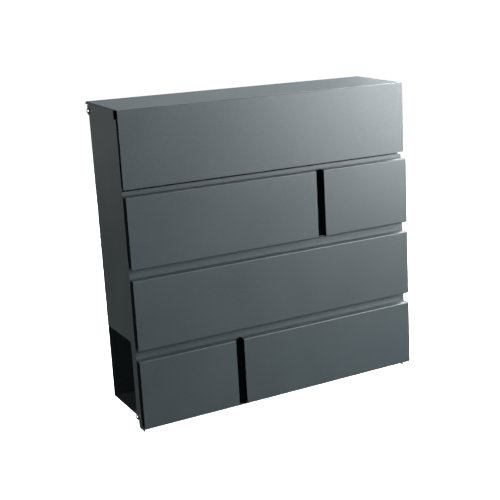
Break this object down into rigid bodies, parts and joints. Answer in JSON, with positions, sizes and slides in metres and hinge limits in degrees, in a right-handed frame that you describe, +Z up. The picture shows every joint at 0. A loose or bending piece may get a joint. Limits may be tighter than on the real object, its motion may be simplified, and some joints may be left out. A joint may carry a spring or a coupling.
{
  "type": "wall-mounted letterbox with newspaper tunnel",
  "caption": "Flat wall-mounted steel letterbox with a brick-pattern fold-down door, a lifting lid over the mail slot and an open newspaper tunnel below.",
  "frame": {"origin": "centre of the four wall holes, in the plane of the bosses that touch the wall", "axes": "+Z up, +X to the right seen from the front, +Y into the wall, so the door faces -Y"},
  "size_m": [0.3722, 0.112, 0.3718],
  "materials": {
    "body_paint": "semi-gloss powder coat",
    "door_paint": "semi-gloss powder coat",
    "lid_paint": "semi-gloss powder coat",
    "rivet_steel": "bright",
    "washer_nylon": "matt",
    "lock_chrome": "polished",
    "zinc_steel": "zinc plated"
  },
  "bodies": {
    "body": {"back_wall": "body_paint", "side_left": "body_paint", "side_right": "body_paint", "letter_floor": "body_paint", "tunnel_floor": "body_paint", "lock_panel": "body_paint", "lid_pivot_rivets": "rivet_steel", "lid_pivot_washers": "washer_nylon", "door_pivot_rivets": "rivet_steel", "door_pivot_washers": "washer_nylon", "lock_housing": "lock_chrome", "lock_nut": "zinc_steel"},
    "lid": {"lid": "lid_paint", "lid_bracket_left": "lid_paint", "lid_bracket_right": "lid_paint"},
    "door": {"door_plate": "door_paint", "door_stile_left": "door_paint", "door_stile_right": "door_paint", "row2_left": "door_paint", "row2_right": "door_paint", "row3_full": "door_paint", "row4_left": "door_paint", "row4_right": "door_paint"},
    "lock": {"lock_plug": "lock_chrome", "lock_cam": "zinc_steel", "cam_screw": "zinc_steel"}
  },
  "joints": [
    {"name": "lid_hinge", "type": "hinge", "parent": "body", "child": "lid", "pos_m": [0, -0.012, 0.1292], "axis": [-1, 0, 0], "range_deg": [0, 90]},
    {"name": "door_hinge", "type": "hinge", "parent": "body", "child": "door", "pos_m": [0, -0.0885, -0.2168], "axis": [1, 0, 0], "range_deg": [0, 94]},
    {"name": "lock_turn", "type": "hinge", "parent": "body", "child": "lock", "pos_m": [0, -0.089, 0.077], "axis": [0, 1, 0], "range_deg": [0, 90]}
  ]
}
